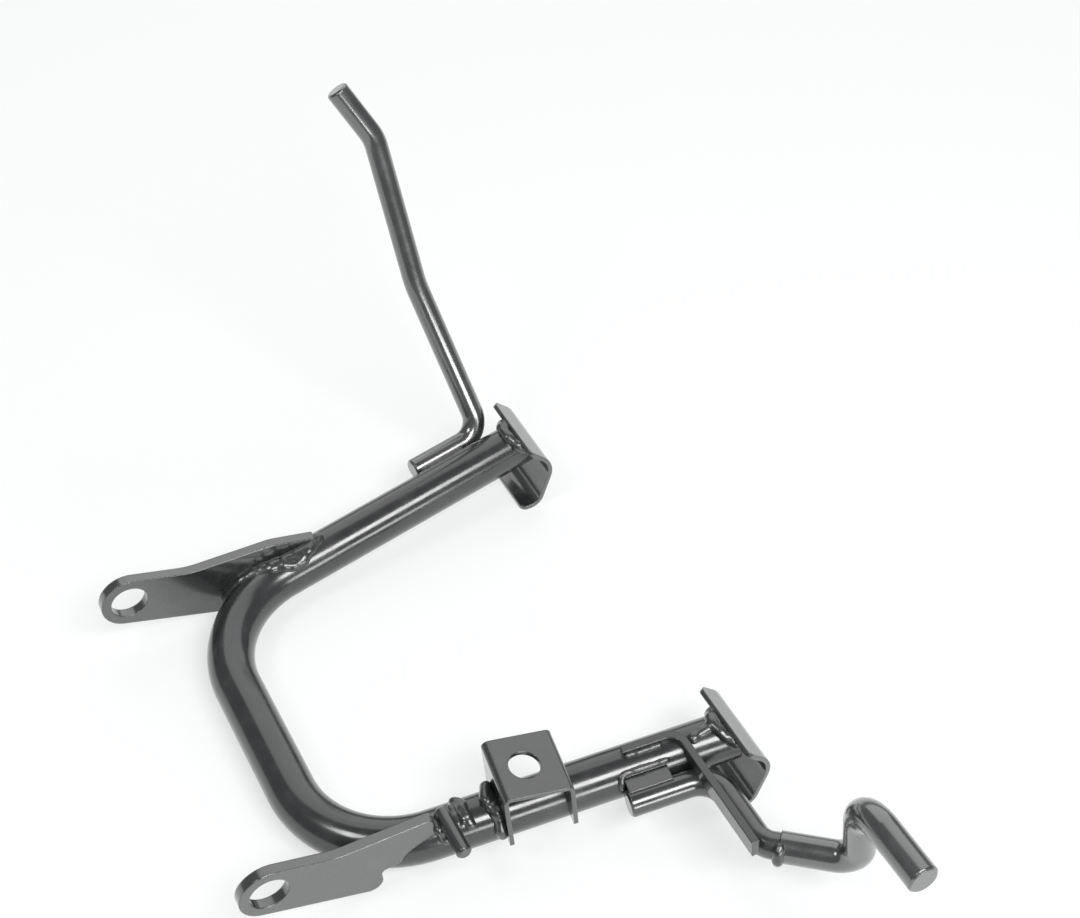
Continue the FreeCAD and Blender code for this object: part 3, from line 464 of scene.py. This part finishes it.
def weld_tree(material):
    """Geometry nodes of a bead: drops of weld metal along a seam, run together and roughened."""
    tree = bpy.data.node_groups.new("Weld bead", "GeometryNodeTree")
    face = tree.interface
    face.new_socket("Seam", in_out="INPUT", socket_type="NodeSocketGeometry")
    for name in ("Radius", "Pitch", "Jitter", "Grain", "Voxel"):
        face.new_socket(name, in_out="INPUT", socket_type="NodeSocketFloat")
    face.new_socket("Seed", in_out="INPUT", socket_type="NodeSocketInt")
    face.new_socket("Bead", in_out="OUTPUT", socket_type="NodeSocketGeometry")
    nodes = NodeTree(tree)
    start = nodes.add("NodeGroupInput").outputs
    radius, jitter, voxel, seed = start["Radius"], start["Jitter"], start["Voxel"], start["Seed"]

    curve = nodes.add("GeometryNodeMeshToCurve", Mesh=start["Seam"])
    points = nodes.add("GeometryNodeCurveToPoints", {"mode": "LENGTH"}, Curve=curve.outputs[0],
                       Length=nodes.reckon("MULTIPLY", radius, start["Pitch"]))
    scale = nodes.add("FunctionNodeRandomValue", {"data_type": "FLOAT"},
                      Min=nodes.reckon("SUBTRACT", 1.0, jitter), Max=LARGEST_DROP, Seed=seed)
    stray = nodes.add("FunctionNodeRandomValue", {"data_type": "FLOAT_VECTOR"},
                      Min=(-0.5, -0.5, -0.5), Max=(0.5, 0.5, 0.5), Seed=seed)
    moved = nodes.add("GeometryNodeSetPosition", Geometry=points.outputs["Points"],
                      Offset=nodes.scaled(stray.outputs[0], nodes.reckon("MULTIPLY", radius, jitter)))
    drop = nodes.add("GeometryNodeMeshIcoSphere", Radius=radius, Subdivisions=3)
    placed = nodes.add("GeometryNodeInstanceOnPoints", Points=moved.outputs[0], Instance=drop.outputs[0],
                       Rotation=points.outputs["Rotation"], Scale=scale.outputs[1])
    whole = nodes.add("GeometryNodeRealizeInstances", Geometry=placed.outputs[0])

    volume = nodes.add("GeometryNodeMeshToVolume", {"resolution_mode": "VOXEL_SIZE"}, Mesh=whole.outputs[0],
                       Voxel_Size=voxel, Interior_Band_Width=SKIN_BAND)
    skin = nodes.add("GeometryNodeVolumeToMesh", {"resolution_mode": "VOXEL_SIZE"}, Volume=volume.outputs[0],
                     Voxel_Size=voxel, Threshold=SKIN_LEVEL)
    place = nodes.add("GeometryNodeInputPosition").outputs[0]
    even = nodes.add("GeometryNodeBlurAttribute", {"data_type": "FLOAT_VECTOR"}, Value=place,
                     Iterations=MELT_STEPS)
    melted = nodes.add("GeometryNodeSetPosition", Geometry=skin.outputs[0], Position=even.outputs[0])

    lumps = nodes.add("ShaderNodeTexNoise", Vector=place, Scale=LUMP_SCALE, Detail=1.0)
    height = nodes.reckon("SUBTRACT", lumps.outputs[0], 0.5)
    normal = nodes.add("GeometryNodeInputNormal").outputs[0]
    rough = nodes.add("GeometryNodeSetPosition", Geometry=melted.outputs[0],
                      Offset=nodes.scaled(normal, nodes.reckon("MULTIPLY", height, start["Grain"])))
    smooth = nodes.add("GeometryNodeSetShadeSmooth", Geometry=rough.outputs[0])
    real = nodes.add("GeometryNodeRealizeInstances", Geometry=smooth.outputs[0])
    painted = nodes.add("GeometryNodeSetMaterial", Geometry=real.outputs[0], Material=material)
    end = nodes.add("NodeGroupOutput")
    tree.links.new(painted.outputs[0], end.inputs[0])
    return tree


def seam_object(name, seams):
    """Mesh of loose edges along the seams of one bead, in the model's own frame."""
    points, edges = [], []
    for seam in seams:
        edges += [(len(points) + step, len(points) + step + 1) for step in range(len(seam) - 1)]
        points += [REST @ point for point in seam]
    mesh = bpy.data.meshes.new(name)
    mesh.from_pydata(points, edges, [])
    piece = bpy.data.objects.new(name, mesh)
    bpy.context.scene.collection.objects.link(piece)
    return piece


def grown(piece, tree, values):
    """Piece with its seam turned into the plain mesh that the node tree makes of it."""
    modifier = piece.modifiers.new("Bead", "NODES")
    modifier.node_group = tree
    for socket in tree.interface.items_tree:
        if socket.in_out == "INPUT" and socket.name in values:
            modifier[socket.identifier] = values[socket.name]
    graph = bpy.context.evaluated_depsgraph_get()
    mesh = bpy.data.meshes.new_from_object(piece.evaluated_get(graph))
    piece.modifiers.remove(modifier)
    piece.data = mesh
    return piece


def pale_table(settings):
    """Table under the stand, with a share of plain white that shows to the camera and in gloss alone."""
    low = CAD_BOX[0].z
    mesh = bpy.data.meshes.new("table")
    corners = [(-TABLE_REACH, -TABLE_REACH, low), (TABLE_REACH, -TABLE_REACH, low),
               (TABLE_REACH, TABLE_REACH, low), (-TABLE_REACH, TABLE_REACH, low)]
    mesh.from_pydata(corners, [], [(0, 1, 2, 3)])
    table = bpy.data.objects.new("table", mesh)
    bpy.context.scene.collection.objects.link(table)

    material, nodes, shader, output = new_material("Pale table")
    nodes.put(shader, "Base Color", (*settings.table, 1))
    nodes.put(shader, "Roughness", TABLE_ROUGHNESS)
    nodes.put(shader, "Specular IOR Level", TABLE_SPECULAR)
    path = nodes.add("ShaderNodeLightPath").outputs
    mirrored = nodes.reckon("MAXIMUM", path["Is Camera Ray"], path["Is Glossy Ray"])
    seen = nodes.reckon("MAXIMUM", mirrored, path["Is Transmission Ray"])
    white = nodes.add("ShaderNodeEmission", Strength=1.0)
    mixed = nodes.add("ShaderNodeMixShader", **{"0": nodes.reckon("MULTIPLY", seen, settings.lift),
                                                "1": shader.outputs[0], "2": white.outputs[0]})
    nodes.put(output, "Surface", mixed.outputs[0])
    mesh.materials.append(material)
    return table


def area_lamp(name, azimuth, elevation, distance, width, height, power):
    """Soft rectangular lamp aimed at the stand, placed by its direction counted from +Y towards +X."""
    turn, lift = math.radians(azimuth), math.radians(elevation)
    away = Vector((math.sin(turn) * math.cos(lift), math.cos(turn) * math.cos(lift), math.sin(lift)))
    lamp = bpy.data.lights.new(name, "AREA")
    lamp.shape = "RECTANGLE"
    lamp.size = width
    lamp.size_y = height
    lamp.energy = power
    holder = bpy.data.objects.new(name, lamp)
    holder.location = LAMP_AIM + away * distance
    holder.rotation_mode = "QUATERNION"
    holder.rotation_quaternion = away.to_track_quat("Z", "Y")
    bpy.context.scene.collection.objects.link(holder)


def studio_camera(settings):
    """Camera that looks at its aim from a side and a height, turned about its own axis by the roll."""
    camera = bpy.data.cameras.new("Camera")
    camera.lens = settings.lens
    camera.sensor_width = SENSOR_WIDTH
    holder = bpy.data.objects.new("Camera", camera)
    turn, lift = settings.azimuth, settings.elevation
    back = Vector((math.sin(turn) * math.cos(lift), -math.cos(turn) * math.cos(lift), math.sin(lift)))
    holder.location = Vector(settings.aim) + back * settings.distance
    holder.rotation_mode = "QUATERNION"
    holder.rotation_quaternion = back.to_track_quat("Z", "Y") @ Quaternion((0, 0, 1), settings.roll)
    bpy.context.scene.collection.objects.link(holder)
    return holder


class STAND_OT_paint_frame(Operator):
    """Give every tube, plate and bar its gloss black paint"""
    bl_idname = "stand.paint_frame"
    bl_label = "Paint the frame"

    def execute(self, context):
        settings = context.scene.stand_paint
        paints = {name: paint_material(name, settings, PAINT_GRAIN_SCALE, settings.peel, *finish)
                  for name, finish in PAINTS.items()}
        for name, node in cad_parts.items():
            if name.endswith("_weld"):
                continue
            for entry in node.material_slots:
                entry.material = paints[PAINT_OF.get(name, BAR_PAINT)]
        return {"FINISHED"}


class STAND_OT_weld_beads(Operator):
    """Lay a rough bead along every seam"""
    bl_idname = "stand.weld_beads"
    bl_label = "Weld the seams"

    def execute(self, context):
        settings = context.scene.stand_weld
        metal = paint_material("Painted weld metal", context.scene.stand_paint, WELD_GRAIN_SCALE,
                               settings.grain * GRAIN_SHARE, *WELD_PAINT)
        tree = weld_tree(metal)
        for number, (name, node, radius, seams) in enumerate(SEAMS):
            piece = grown(seam_object(name, seams), tree, {
                "Radius": radius, "Pitch": settings.pitch, "Jitter": settings.jitter, "Grain": settings.grain,
                "Voxel": settings.voxel, "Seed": settings.seed + number})
            if not piece.data.polygons:
                raise RuntimeError("%s has no faces" % name)
            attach(piece, "root")
            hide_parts(node)
        return {"FINISHED"}


class STAND_OT_stage(Operator):
    """Set up the table, the lamps and the camera"""
    bl_idname = "stand.stage"
    bl_label = "Set the stage"

    def execute(self, context):
        settings = context.scene.stand_stage
        scene = context.scene
        table = pale_table(settings)
        for lamp in LAMPS:
            area_lamp(*lamp)
        world = bpy.data.worlds.new("Room")
        world.use_nodes = True
        world.node_tree.nodes["Background"].inputs["Color"].default_value = (*settings.surround, 1)
        scene.world = world
        scene.view_settings.view_transform = "Standard"
        scene.camera = studio_camera(settings)
        return {"FINISHED"}


class STAND_PT_panel(Panel):
    """Panel with the stand's settings and steps"""
    bl_label = "Centre stand"
    bl_idname = "STAND_PT_panel"
    bl_space_type = "VIEW_3D"
    bl_region_type = "UI"
    bl_category = "Centre stand"

    def draw(self, context):
        for settings, operator in ((context.scene.stand_paint, STAND_OT_paint_frame),
                                   (context.scene.stand_weld, STAND_OT_weld_beads),
                                   (context.scene.stand_stage, STAND_OT_stage)):
            column = self.layout.column()
            for name in settings.__annotations__:
                column.prop(settings, name)
            column.operator(operator.bl_idname)


CLASSES = (PaintSettings, WeldSettings, StageSettings,
           STAND_OT_paint_frame, STAND_OT_weld_beads, STAND_OT_stage, STAND_PT_panel)


def register():
    """Register the classes and hang the settings on the scene."""
    for entry in CLASSES:
        bpy.utils.register_class(entry)
    bpy.types.Scene.stand_paint = PointerProperty(type=PaintSettings)
    bpy.types.Scene.stand_weld = PointerProperty(type=WeldSettings)
    bpy.types.Scene.stand_stage = PointerProperty(type=StageSettings)


def unregister():
    """Take the settings off the scene and unregister the classes."""
    del bpy.types.Scene.stand_stage
    del bpy.types.Scene.stand_weld
    del bpy.types.Scene.stand_paint
    for entry in reversed(CLASSES):
        bpy.utils.unregister_class(entry)


def main():
    """Build the whole scene."""
    register()
    bpy.ops.stand.paint_frame()
    bpy.ops.stand.weld_beads()
    bpy.ops.stand.stage()


if __name__ == "__main__":
    main()
